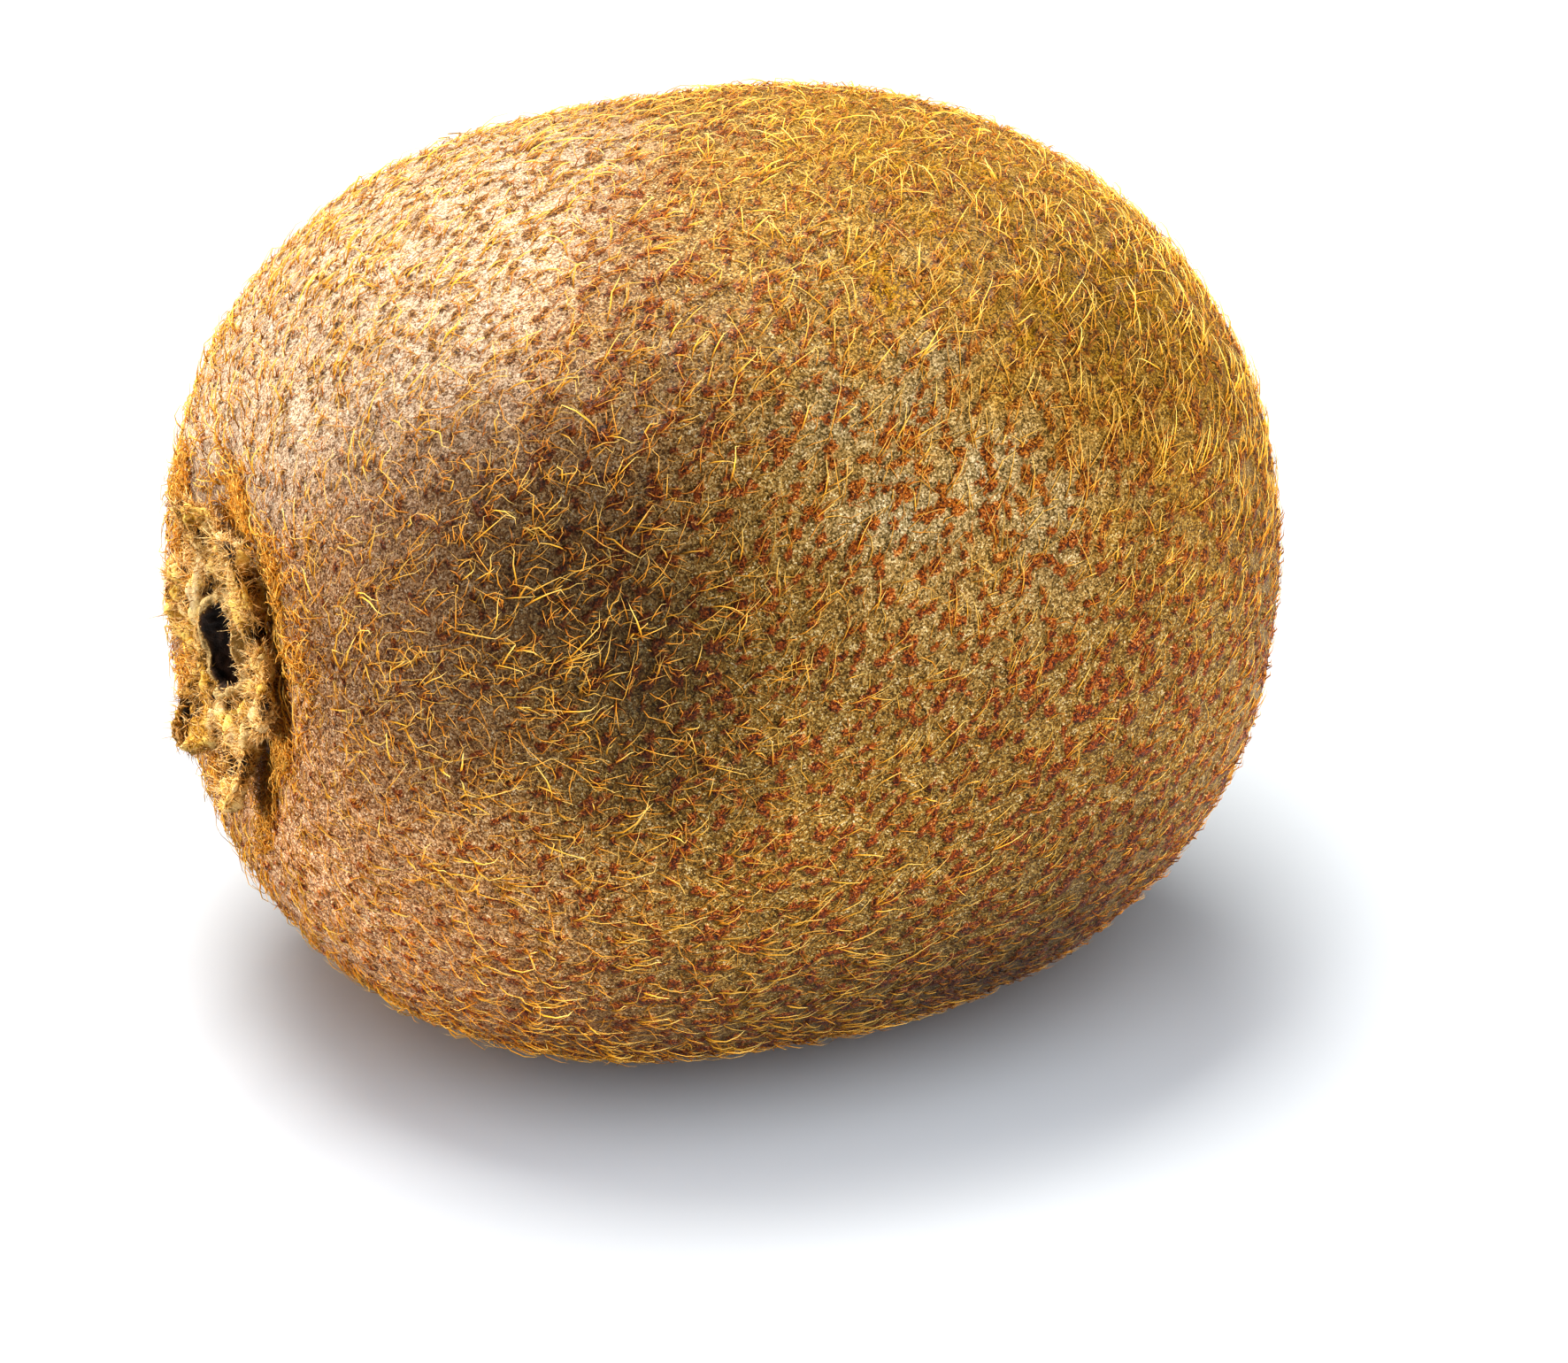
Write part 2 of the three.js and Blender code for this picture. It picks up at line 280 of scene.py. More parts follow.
def add(material, kind, links=None, values=None, **settings):
    """Adds a node: links are outputs for its sockets, values are numbers for its sockets, or a ramp's
    colours as a list of places and hex codes, and settings are the node's own."""
    node = material.node_tree.nodes.new(kind)
    stops = values if isinstance(values, list) else []
    for key, value in settings.items():
        owner = node if hasattr(node, key) else node.inputs[key]
        setattr(owner, key if owner is node else "default_value", value)
    for socket, output in (links or {}).items():
        material.node_tree.links.new(output, node.inputs[socket])
    for socket, value in ({} if stops else values or {}).items():
        node.inputs[socket].default_value = value
    while len(stops) > len(node.color_ramp.elements if stops else []):
        node.color_ramp.elements.new(0.5)
    for i, (place, code) in enumerate(stops):
        node.color_ramp.elements[i].position = place
        node.color_ramp.elements[i].color = tint(code)
    return node


def per_mm(size):
    """The scale of a texture whose features are that many millimetres across."""
    return 1000 / size


ways, quads = cube_sphere(SKIN_GRID)
bare = skin_points(ways)
low, high = [np.array(corner) * 1000 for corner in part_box("fruit")]
middle = (low + high) / 2 - (bare.min(axis=0) + bare.max(axis=0)) / 2
SHIFT = np.array([middle[0], middle[1], high[2] - bare[:, 2].max()])
FLOOR = -SHIFT[2]

draw = np.random.default_rng(3)
tuft_ways = even_ways(TUFTS, 0.33, draw)
tuft_points = skin_points(tuft_ways)
tuft_normals = skin_normals(tuft_ways)
tuft_combs = comb_ways(tuft_points, tuft_normals)
swing = draw.normal(size=TUFTS) * 0.6
tuft_sides = np.cross(tuft_normals, tuft_combs)
tuft_heads = tuft_combs * np.cos(swing)[:, None] + tuft_sides * np.sin(swing)[:, None]
tuft_sides = np.cross(tuft_normals, tuft_heads)
tuft_size = draw.uniform(0.6, 1.0, TUFTS)
tuft_size *= np.clip(0.62 + (tuft_points[:, 0] + 26) / 30, 0.5, 1)
tuft_long = draw.uniform(*TUFT_HALF_LENGTH, TUFTS) * tuft_size
tuft_wide = draw.uniform(*TUFT_HALF_WIDTH, TUFTS) * tuft_size


def tuft_cover(points):
    """How much of a tuft covers each point: one at the nearest tuft's middle, falling evenly to nothing
    at one and a half times its oval outline."""
    cover = np.zeros(len(points))
    for start in range(0, len(points), 4000):
        some = points[start : start + 4000]
        apart = (tuft_points**2).sum(axis=1)[None, :] - 2 * some @ tuft_points.T
        near = np.argmin(apart, axis=1)
        offset = some - tuft_points[near]
        along = np.sum(offset * tuft_heads[near], axis=1) / tuft_long[near]
        aside = np.sum(offset * tuft_sides[near], axis=1) / tuft_wide[near]
        cover[start : start + 4000] = np.clip(1.5 - np.hypot(along, aside), 0, 1.5) / 1.5
    return cover


normals = skin_normals(ways)
cover = tuft_cover(bare)
relief = TUFT_HEIGHT * cover**0.7 * (1 + 0.5 * noise(bare, 0.5, 4)) + swells(bare)
points = bare + normals * relief[:, None]
points[:, 2] = np.maximum(points[:, 2], FLOOR)
skin = new_piece("fruit_skin", points, quads)
# The blots run together underneath and towards the blossom end, and a painted highlight, cream, lies on top
# of the stem's half.
matting = 0.16 * np.clip(-(bare[:, 2] + 6) / 14, 0, 1) + 0.06 * np.clip(bare[:, 0] / 12, 0, 1)
mark(skin, "tuft", cover + matting)
mottling = 1 + 0.14 * noise(bare, 5, 6) + 0.1 * noise(bare, 1.7, 7)
# The skin's tone: the painted light and shade times a random mottling.
mark(skin, "painted_light_and_tone", painted_shading(bare) * mottling)
# A painted sheen in front, pale and grey, with a ragged edge.
painted_sheen = np.exp(-np.sum((bare - PAINTED_SHEEN_MIDDLE) ** 2, axis=1) / PAINTED_SHEEN_REACH**2) * (1 + 0.7 * noise(bare, 2.5, 10))
mark(skin, "painted_sheen", np.clip(painted_sheen, 0, 1))
mark(skin, "tan", tan_share(bare))
# A painted highlight: the tan skin turns cream on its upper side, where the key light falls.
above = np.clip((bare[:, 2] + np.minimum(bare[:, 1], 0) + 2) / 10, 0, 1)
mark(skin, "painted_highlight_cream", np.clip(2.4 * tan_share(bare) - 1.3, 0, 1) * above)
# The gilded upper side of the blossom end: partly the coat's own gold, partly painted warm light from above.
mark(skin, "gold", golden_share(bare) * (0.75 + 0.5 * noise(bare, 2.5, 8)))

# Kiwifruit skin: a dry, thin bark of flattened dead cells 0.1 mm across, khaki over green flesh, with a
# painted sheen, ash-grey, in front, pinkish tan towards the stem with a painted cream highlight on its top,
# and gilded on the upper side of the blossom end, partly painted warm light. The palest cells, near white,
# are painted glitter, and the matted roots of the hairs make rust-brown blots, which are amber in the gold
# and ochre in the painted highlight.
CELL_SIZE = 0.09
SPECK_SIZE = 0.45
TONE_PLACES = (0.1, 0.35, 0.55, 0.75, 0.95)

skin_finish, shader = new_material("corky_skin")
place = add(skin_finish, "ShaderNodeTexCoord").outputs["Object"]
cells = add(skin_finish, "ShaderNodeTexVoronoi", {"Vector": place}, Scale=per_mm(CELL_SIZE))
own = add(skin_finish, "ShaderNodeSeparateColor", {"Color": cells.outputs["Color"]}).outputs["Red"]
specks = add(
    skin_finish, "ShaderNodeTexNoise", {"Vector": place}, Scale=per_mm(SPECK_SIZE), Detail=4.0, Roughness=0.7
)
crumbs = specks.outputs["Fac"]
uneven = add(skin_finish, "ShaderNodeMath", {0: crumbs, 2: own}, {1: 1.4}, operation="MULTIPLY_ADD")
spread = add(
    skin_finish, "ShaderNodeMapRange", {"Value": uneven.outputs[0]}, {"From Min": 0.4, "From Max": 2.0}
)


def skin_colours(*codes):
    """The colour of each cell: a ramp over its own random share and the specks, from dark to pale."""
    stops = list(zip(TONE_PLACES, codes))
    return add(skin_finish, "ShaderNodeValToRGB", {"Fac": spread.outputs[0]}, stops).outputs[0]


def skin_value(name):
    """A number that the skin's vertices hold."""
    return add(skin_finish, "ShaderNodeAttribute", attribute_name=name).outputs["Fac"]


def layered(colour, layers):
    """A colour that gives way to each layer's in turn, by that layer's share of the skin."""
    for share, layer in layers:
        links = {0: share, 6: colour, 7: layer}
        colour = add(skin_finish, "ShaderNodeMix", links, data_type="RGBA").outputs[2]
    return colour


khaki = skin_colours("#241a04", "#664a16", "#96702a", "#bea560", "#fff8d8")
# The painted sheen's colours: a paler, greyer ground.
painted_sheen_colours = skin_colours("#2a240e", "#6e6642", "#a09978", "#ccc8b0", "#fffffa")
tan = skin_colours("#361c0c", "#885832", "#c49464", "#eac69c", "#fff8ea")
painted_highlight_cream = skin_colours("#5a3822", "#b08e6c", "#e4c8aa", "#f8e6d2", "#fffcf4")
gilt = skin_colours("#2e1c02", "#765408", "#b0820e", "#d8a418", "#ffe054")
rust = skin_colours("#160500", "#441804", "#86390e", "#b65e20", "#f8ba74")
amber = skin_colours("#281002", "#5c3206", "#965e10", "#c89028", "#fcd064")
# The blots in the painted highlight are paler, ochre.
ochre = skin_colours("#301c0c", "#603a1a", "#90602c", "#c29250", "#fcd898")
golden, painted_highlight_share = skin_value("gold"), skin_value("painted_highlight_cream")
layers = [(skin_value("painted_sheen"), painted_sheen_colours), (skin_value("tan"), tan), (painted_highlight_share, painted_highlight_cream), (golden, gilt)]
ground = layered(khaki, layers)
matted = layered(rust, [(golden, amber), (painted_highlight_share, ochre)])
ragged = add(
    skin_finish, "ShaderNodeMath", {0: crumbs, 2: skin_value("tuft")}, {1: 1.5}, operation="MULTIPLY_ADD"
)
blot = add(
    skin_finish, "ShaderNodeMapRange", {"Value": ragged.outputs[0]}, {"From Min": 1.05, "From Max": 1.17}
)
coat = layered(ground, [(blot.outputs[0], matted)])
# Painted light and shade: the tone brightens and darkens the coat.
painted_light_toned = add(skin_finish, "ShaderNodeHueSaturation", {"Color": coat, "Value": skin_value("painted_light_and_tone")})
skin_finish.node_tree.links.new(painted_light_toned.outputs[0], shader.inputs["Base Color"])
grit = add(skin_finish, "ShaderNodeBump", {"Height": own}, {"Strength": 0.6, "Distance": 0.00006})
lumps = add(
    skin_finish,
    "ShaderNodeBump",
    {"Height": ragged.outputs[0], "Normal": grit.outputs[0]},
    {"Strength": 1.0, "Distance": 0.0005},
)
skin_finish.node_tree.links.new(lumps.outputs[0], shader.inputs["Normal"])
shader.inputs["Roughness"].default_value = 0.4
shader.inputs["Specular IOR Level"].default_value = 0.22
skin.data.materials.append(skin_finish)
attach(skin, "root")
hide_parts("fruit")

# The short hairs: each pore carries a matted tuft of stiff, rust-brown hairs about a millimetre long,
# which lie almost flat on the skin and fan out from their common root.
TUFT_FIBRES = 2
FIBRE_LENGTH = (0.55, 1.5)
FIBRE_HALF_THICKNESS = 0.045
ROOT_DEPTH = 0.04
HAIRS_SHADED_BELOW = -15


def combed(roots, heads, length, looks, segments):
    """Paths of hairs that lie on the skin, and the skin's normals along them. Seen from above a hair
    turns evenly by its curl, plus a sudden kink, which turns back 1.3 times as far a third of the way
    further on. Its height over the skin is a low arch, four times s times one less s, plus a share of
    its tip's rise."""
    count = len(roots)
    curl, kink, arch, rise = [np.broadcast_to(look, count)[:, None] for look in looks]
    s = np.linspace(0, 1, segments + 1)
    bend_at = np.random.default_rng(count).uniform(0.1, 0.7, (count, 1))
    turned = curl * s + kink * ((s > bend_at) - 1.3 * (s > bend_at + 0.3))
    step = length[:, None] / segments
    start = np.zeros((count, 1))
    forward = np.concatenate([start, np.cumsum(np.cos(turned[:, :-1]), axis=1) * step], axis=1)
    aside = np.concatenate([start, np.cumsum(np.sin(turned[:, :-1]), axis=1) * step], axis=1)
    across = np.cross(skin_normals(ways_to(roots)), heads)
    flat = roots[:, None] + forward[..., None] * heads[:, None] + aside[..., None] * across[:, None]
    ways = ways_to(flat.reshape(-1, 3))
    base, out = skin_points(ways), skin_normals(ways)
    height = length[:, None] * (arch * 4 * s * (1 - s) + rise * s**1.5) - ROOT_DEPTH
    path = base + out * (swells(base) + height.ravel())[:, None]
    return path.reshape(flat.shape), out.reshape(flat.shape)


def tubes(name, path, out, half, material, sides=3):
    """Closed tubes along the paths, lifted clear of the floor. They thin out to a quarter by the 1.3th power
    of the way and end in a point. Their vertices hold how far along they lie and a tint: a random one times
    the painted light and shade of the areas that lie low on the fruit."""
    count, nodes = path.shape[:2]
    s = np.linspace(0, 1, nodes)
    path[..., 2] = np.maximum(path[..., 2], FLOOR + 1.3 * np.broadcast_to(half, count)[:, None])
    run = unit(np.gradient(path, axis=1) + 1e-9)
    across = unit(np.cross(run, out) + 1e-9)
    over = np.cross(across, run)
    width = np.broadcast_to(half, count)[:, None] * (1 - 0.75 * s[:-1] ** 1.3)
    rings = [
        path[:, :-1] + width[..., None] * (math.cos(a) * across[:, :-1] + math.sin(a) * over[:, :-1])
        for a in math.pi / 2 + np.arange(sides) * TURN / sides
    ]
    body = np.stack(rings, axis=2).reshape(count, (nodes - 1) * sides, 3)
    points = np.concatenate([body, path[:, -1:]], axis=1)
    tip = (nodes - 1) * sides
    triangles = [(0, j, j + 1) for j in range(1, sides - 1)]
    for i in range(nodes - 1):
        for j in range(sides):
            a, b = sides * i + j, sides * i + (j + 1) % sides
            triangles += [(a, a + sides, b), (b, a + sides, b + sides)] if i < nodes - 2 else [(a, tip, b)]
    faces = np.array(triangles)[None] + (np.arange(count) * points.shape[1])[:, None, None]
    piece = new_piece(name, points.reshape(-1, 3), faces.reshape(-1, 3))
    mark(piece, "along", np.tile(np.append(np.repeat(s[:-1], sides), 1.0), count))
    # Hairs low on the fruit take the painted light and shade of the skin under them.
    tint_and_painted_shade = np.random.default_rng(count).uniform(0.5, 1.35, count) * painted_shading(path[:, 0], HAIRS_SHADED_BELOW)
    mark(piece, "tint_and_painted_shade", np.repeat(tint_and_painted_shade, points.shape[1]))
    piece.data.materials.append(material)
    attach(piece, "root")
    return piece


def turned_by(heads, normals, angle):
    """Directions along the skin, turned about its normals."""
    return heads * np.cos(angle)[:, None] + np.cross(normals, heads) * np.sin(angle)[:, None]


def hair_material(name, root, middle, tip, roughness):
    """A plant hair: a dry hollow tube of cellulose, darker at its root, with a soft gloss."""
    material, shader = new_material(name)
    along = add(material, "ShaderNodeAttribute", attribute_name="along").outputs["Fac"]
    tint_and_painted_shade = add(material, "ShaderNodeAttribute", attribute_name="tint_and_painted_shade").outputs["Fac"]
    colours = add(material, "ShaderNodeValToRGB", {"Fac": along}, [(0.0, root), (0.35, middle), (1.0, tip)])
    varied = add(material, "ShaderNodeHueSaturation", {"Color": colours.outputs[0], "Value": tint_and_painted_shade})
    material.node_tree.links.new(varied.outputs[0], shader.inputs["Base Color"])
    shader.inputs["Roughness"].default_value = roughness
    shader.inputs["Specular IOR Level"].default_value = 0.2
    return material


rust_hair = hair_material("matted_rust_hair", "#622a0a", "#ac641c", "#eaac4c", 0.5)
for part, chosen in enumerate(np.array_split(draw.permutation(TUFTS), 3)):
    pick = np.repeat(chosen, TUFT_FIBRES)
    count = len(pick)
    out = draw.uniform(-0.7, 0.4, count) * tuft_long[pick]
    off = draw.uniform(-0.7, 0.7, count) * tuft_wide[pick]
    roots = tuft_points[pick] + tuft_heads[pick] * out[:, None] + tuft_sides[pick] * off[:, None]
    heads = turned_by(tuft_heads[pick], tuft_normals[pick], draw.normal(size=count) * 0.6)
    length = draw.uniform(*FIBRE_LENGTH, count) * (0.45 + 0.55 * tuft_size[pick])
    looks = (
        draw.normal(size=count) * 0.8,
        draw.normal(size=count) * 0.3,
        draw.uniform(0.1, 0.28, count),
        draw.uniform(0.1, 0.4, count),
    )
    path, out = combed(roots, heads, length, looks, 2)
    half = FIBRE_HALF_THICKNESS * draw.uniform(0.7, 1.3, count)
    tubes(f"short_hairs_{part + 1}", path, out, half, rust_hair)

# The long hairs: golden, kinked and curved, up to 4 mm, one or two from a root, in some of the tufts.
# They lie down the way of the tufts, loosely near the stem, and straighter, thicker and more upright on
# the gilded side. They are few and short low on the blossom end.
BUNDLES = 6600
LONG_LENGTH = (1.1, 3.9)
LONG_HALF_THICKNESS = 0.036

golden_hair = hair_material("golden_hair", "#985c10", "#f6ba3c", "#ffee98", 0.45)
draw = np.random.default_rng(31)
likely = 1 + 0.9 * golden_share(tuft_points) + 0.6 * np.clip(tuft_points[:, 0] / 25, 0, 1)
likely *= np.clip(1 + tuft_points[:, 2] / 60, 0.6, 1)
bald = np.clip(tuft_points[:, 0] / 12, 0, 1) * np.clip((8 - tuft_points[:, 2]) / 12, 0, 1)
likely *= 1 - 0.7 * bald
pick = draw.choice(TUFTS, BUNDLES, p=likely / likely.sum())
loose = np.clip(0.3 - tuft_points[pick, 0] / 24, 0, 1) * draw.uniform(0.2, 1, BUNDLES)
swing = draw.normal(size=BUNDLES) * 0.34 + loose * draw.uniform(-0.8, 0.8, BUNDLES)
length = draw.uniform(*LONG_LENGTH, BUNDLES) * (0.8 + 0.2 * tuft_size[pick]) * (1 - 0.4 * bald[pick])
gilded = golden_share(tuft_points[pick])
calm = 1 - 0.6 * gilded
curl = draw.normal(size=BUNDLES) * (0.2 + 0.8 * loose) * calm
kink = draw.normal(size=BUNDLES) * (0.25 + 1.5 * loose) * calm
standing = 0.12 * np.clip((tuft_points[pick, 0] - 4) / 22, 0, 1) * draw.uniform(0, 1, BUNDLES)
thick = LONG_HALF_THICKNESS * draw.uniform(0.7, 1.4, BUNDLES) * (1 + 0.6 * loose + 0.3 * gilded)

strands = draw.choice([1, 1, 1, 1, 2, 2], BUNDLES)
each = np.repeat(np.arange(BUNDLES), strands)
count = len(each)
roots = tuft_points[pick[each]] + draw.normal(size=(count, 3)) * 0.45
normals = tuft_normals[pick[each]]
heads = turned_by(tuft_combs[pick[each]], normals, swing[each] + draw.normal(size=count) * 0.4)
looks = (
    curl[each] + draw.normal(size=count) * 0.12,
    kink[each] + draw.normal(size=count) * 0.12,
    draw.uniform(0.06, 0.14, count) * (1 + loose[each]),
    draw.uniform(0.02, 0.12, count) + standing[each],
)
path, out = combed(roots, heads, length[each] * draw.uniform(0.55, 1.1, count), looks, 4)
half = thick[each] * draw.uniform(0.6, 1.1, count)
tubes("long_hairs", path, out, half, golden_hair)

# The fine hairs: thin, curly orange down between the tufts. It is densest at the stem end and
# underneath, and combed the same way as the long hairs.
FINE_HAIRS = 10800
FINE_LENGTH = (0.6, 1.9)
FINE_HALF_THICKNESS = 0.03

orange_hair = hair_material("orange_down", "#96540c", "#e69e2c", "#ffd878", 0.5)
draw = np.random.default_rng(36)
ways = even_ways(2 * FINE_HAIRS, 0.5, draw)
roots = skin_points(ways)
likely = 0.25 + 0.25 * golden_share(roots) + 1.5 * np.clip(-roots[:, 0] / 14 - 0.4, 0, 1)
likely += 0.5 * np.clip(-roots[:, 2] / 20, 0, 1) * np.clip(1 - roots[:, 0] / 14, 0, 1)
pick = draw.choice(len(roots), FINE_HAIRS, replace=False, p=likely / likely.sum())
roots, normals = roots[pick], skin_normals(ways[pick])
loose = np.clip(0.3 - roots[:, 0] / 24, 0, 1)
swing = draw.normal(size=FINE_HAIRS) * (0.5 + loose)
looks = (
    draw.normal(size=FINE_HAIRS) * (0.6 + loose),
    draw.normal(size=FINE_HAIRS) * 0.5,
    draw.uniform(0.03, 0.16, FINE_HAIRS),
    draw.uniform(0.05, 0.3, FINE_HAIRS),
)
heads = turned_by(comb_ways(roots, normals), normals, swing)
length = draw.uniform(*FINE_LENGTH, FINE_HAIRS) * (1 + 0.35 * loose)
path, out = combed(roots, heads, length, looks, 3)
half = FINE_HALF_THICKNESS * draw.uniform(0.7, 1.4, FINE_HAIRS)
tubes("fine_hairs", path, out, half, orange_hair)

# The calyx: six dry sepals that stay on the fruit in a ring round the stem scar. Each is a wrinkled,
# felted tongue, pressed into the basin, with its tip curled up a little.
SEPALS = 6
SEPAL_ROOT = 3.9
SEPAL_LENGTH = 5.0
SEPAL_HALF_WIDTH = 3.3
SEPAL_SHRINKAGE = 0.84
SEPAL_HALF_THICKNESS = 0.55
SEPAL_FOLD = 0.2
CALYX_RING_RADIUS = 4.5
CALYX_RING_HALF = 0.78
GAP = 0.35


def seeded(seed):
    """Repeatable numbers from 0 to 1, each from the last by one multiplication and one addition."""
    state = seed
    while True:
        state = (state * 1664525 + 1013904223) % 4294967296
        yield state / 4294967296


def between(share, low, high):
    """The value at that share of the way from low to high."""
    return low + share * (high - low)


def skin_over(rings, loop=False):
    """Points and outward triangles of a closed body through rings of points. The first and the last
    ring are poles, unless the rings close in a loop."""
    sides = rings.shape[1]
    inner = rings if loop else rings[1:-1]
    points = inner.reshape(-1, 3)
    j = np.arange(sides)
    k = (j + 1) % sides
    low = np.arange(len(inner) if loop else len(inner) - 1)[:, None] * sides
    high = (low + sides) % len(points)
    parts = [(low + j, high + j, low + k), (low + k, high + j, high + k)]
    if not loop:
        last = len(points) - sides
        parts += [(0 * j + len(points), j, k), (last + k, last + j, 0 * j + len(points) + 1)]
        points = np.concatenate([points, rings[0, :1], rings[-1, :1]])
    faces = np.concatenate([np.stack(np.broadcast_arrays(*part), axis=-1).reshape(-1, 3) for part in parts])
    a, b, c = [points[faces[:, i]] for i in range(3)]
    return points, faces if np.sum(a * np.cross(b, c)) > 0 else faces[:, ::-1]


def outward(points, faces):
    """Normals at the vertices: the sums of the cross products of the faces round them."""
    a, b, c = [points[faces[:, i]] for i in range(3)]
    total = np.zeros_like(points)
    for i in range(3):
        np.add.at(total, faces[:, i], np.cross(b - a, c - a))
    return unit(total + 1e-12)


def sepal_rings(rows, sides, angle, length, width, lift, cup, sway, fold):
    """A tongue over the basin: half its width is the 0.55th power of a sine along it, its section is
    an oval, and both faces share cosine wrinkles across it, a lift by the square of the way along
    and a cup by the square of the way across."""
    s = np.linspace(0, 1, rows + 1)[:, None]
    t = np.linspace(0, TURN, sides, endpoint=False)[None, :]
    inside = (s > 0) & (s < 1)
    across = np.cos(t) * inside
    thick = SEPAL_HALF_THICKNESS * (1 - 0.2 * s) * np.sqrt(1 - s**8)
    half = width * np.sin(math.pi * (0.2 + 0.8 * s)) ** 0.55
    height = GAP + SEPAL_HALF_THICKNESS + SEPAL_FOLD + thick * np.sin(t) * inside
    height = height + SEPAL_FOLD * np.cos(2.6 * math.pi * across + fold) + lift * s**2 + cup * across**2
    far = SEPAL_ROOT + length * s + 0 * across
    off = half * across + sway * s**2
    place = np.stack([far * 0.35, off, 0 * off + 10 * angle], axis=-1).reshape(-1, 3)
    height = height + 0.3 * noise(place, 0.9, 12).reshape(off.shape) * inside
    y = math.cos(angle) * far - math.sin(angle) * off
    z = math.sin(angle) * far + math.cos(angle) * off
    return np.stack([face_x(STEM, y, z) - height, y, z], axis=-1)


drawn = seeded(11)
blocks = []
for i in range(SEPALS):
    cut = dict(
        angle=TURN * (i + between(next(drawn), -0.07, 0.07)) / SEPALS,
        length=SEPAL_LENGTH * between(next(drawn), 0.9, 1.06),
        width=SEPAL_HALF_WIDTH * between(next(drawn), 0.85, 1.05) * SEPAL_SHRINKAGE,
        lift=between(next(drawn), -0.1, 1.4),
        cup=between(next(drawn), 0, 0.5),
        sway=between(next(drawn), -1.1, 1.1),
        fold=TURN * next(drawn),
    )
    blocks.append(skin_over(sepal_rings(60, 64, **cut)))
u = np.linspace(0, TURN, 120, endpoint=False)[:, None]
v = np.linspace(0, TURN, 24, endpoint=False)[None, :]
far = CALYX_RING_RADIUS + CALYX_RING_HALF * np.cos(v)
y, z = far * np.cos(u), far * np.sin(u)
ring = np.stack([face_x(STEM, y, z) - GAP - CALYX_RING_HALF * (1 + np.sin(v)) + 0 * y, y, z], axis=-1)
blocks.append(skin_over(ring, loop=True))
starts = np.cumsum([0] + [len(points) for points, _ in blocks])
points = np.concatenate([points for points, _ in blocks])
faces = np.concatenate([faces + start for (_, faces), start in zip(blocks, starts)])
lumps = 0.4 * noise(points, 1.5, 13) + 0.26 * noise(points, 0.6, 14) + 0.1 * noise(points, 0.25, 15)
points = points + outward(points, faces) * lumps[:, None]
calyx = new_piece("calyx_felted", points, faces)
mark(calyx, "lumps", lumps)
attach(calyx, "root")
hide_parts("calyx")

# Dried sepal: dead leaf tissue under a felt of short hairs, beige with yellow stains on its ridges, darker
# brown tissue and painted shade, near black, in its folds, matt all over.
FELT_GRAIN = 0.25
STAIN_SIZE = 2.2

sepal_finish, shader = new_material("felted_sepal")
place = add(sepal_finish, "ShaderNodeTexCoord").outputs["Object"]
felt = add(
    sepal_finish,
    "ShaderNodeTexNoise",
    {"Vector": place},
    Scale=per_mm(FELT_GRAIN),
    Detail=4.0,
    Roughness=0.75,
)
stains = add(sepal_finish, "ShaderNodeTexNoise", {"Vector": place}, Scale=per_mm(STAIN_SIZE), Detail=2.0)
height = add(sepal_finish, "ShaderNodeAttribute", attribute_name="lumps").outputs["Fac"]
# The lower the lumps, the darker: painted shade in the folds and in the gaps between the sepals.
ridges = add(
    sepal_finish, "ShaderNodeMath", {0: height, 2: felt.outputs["Fac"]}, {1: 0.9}, operation="MULTIPLY_ADD"
)
beige = add(
    sepal_finish,
    "ShaderNodeValToRGB",
    {"Fac": ridges.outputs[0]},
    [(0.26, "#120a04"), (0.38, "#7a582a"), (0.5, "#d8ac64"), (0.66, "#fbe4b0")],
)
yellow = add(
    sepal_finish,
    "ShaderNodeValToRGB",
    {"Fac": ridges.outputs[0]},
    [(0.26, "#140a02"), (0.38, "#8a5e14"), (0.5, "#e0a630"), (0.66, "#ffe078")],
)
stained = add(
    sepal_finish, "ShaderNodeMapRange", {"Value": stains.outputs["Fac"]}, {"From Min": 0.4, "From Max": 0.6}
)
dried = add(
    sepal_finish,
    "ShaderNodeMix",
    {0: stained.outputs[0], 6: beige.outputs[0], 7: yellow.outputs[0]},
    data_type="RGBA",
)
sepal_finish.node_tree.links.new(dried.outputs[2], shader.inputs["Base Color"])
grit = add(
    sepal_finish, "ShaderNodeBump", {"Height": felt.outputs["Fac"]}, {"Strength": 1.0, "Distance": 0.0003}
)
sepal_finish.node_tree.links.new(grit.outputs["Normal"], shader.inputs["Normal"])
shader.inputs["Roughness"].default_value = 0.85
calyx.data.materials.append(sepal_finish)

# The felt on the sepals: short, pale, tangled hairs that stand off the dry tissue and blur its edges.
# They grow anywhere on it, upper and lower side alike.
FELT_HAIRS = 7000
FELT_LENGTH = (0.3, 0.9)
FELT_HALF_THICKNESS = (0.02, 0.04)
FELT_SPREAD = 0.7
FELT_BEND = 0.35


def tangled(roots, ways, length, bend, segments):
    """Paths that start along their ways and bend aside by the square of how far along they are."""
    s = np.linspace(0, 1, segments + 1)[None, :, None]
    return roots[:, None] + length[:, None, None] * (ways[:, None] * s + bend[:, None] * s**2)


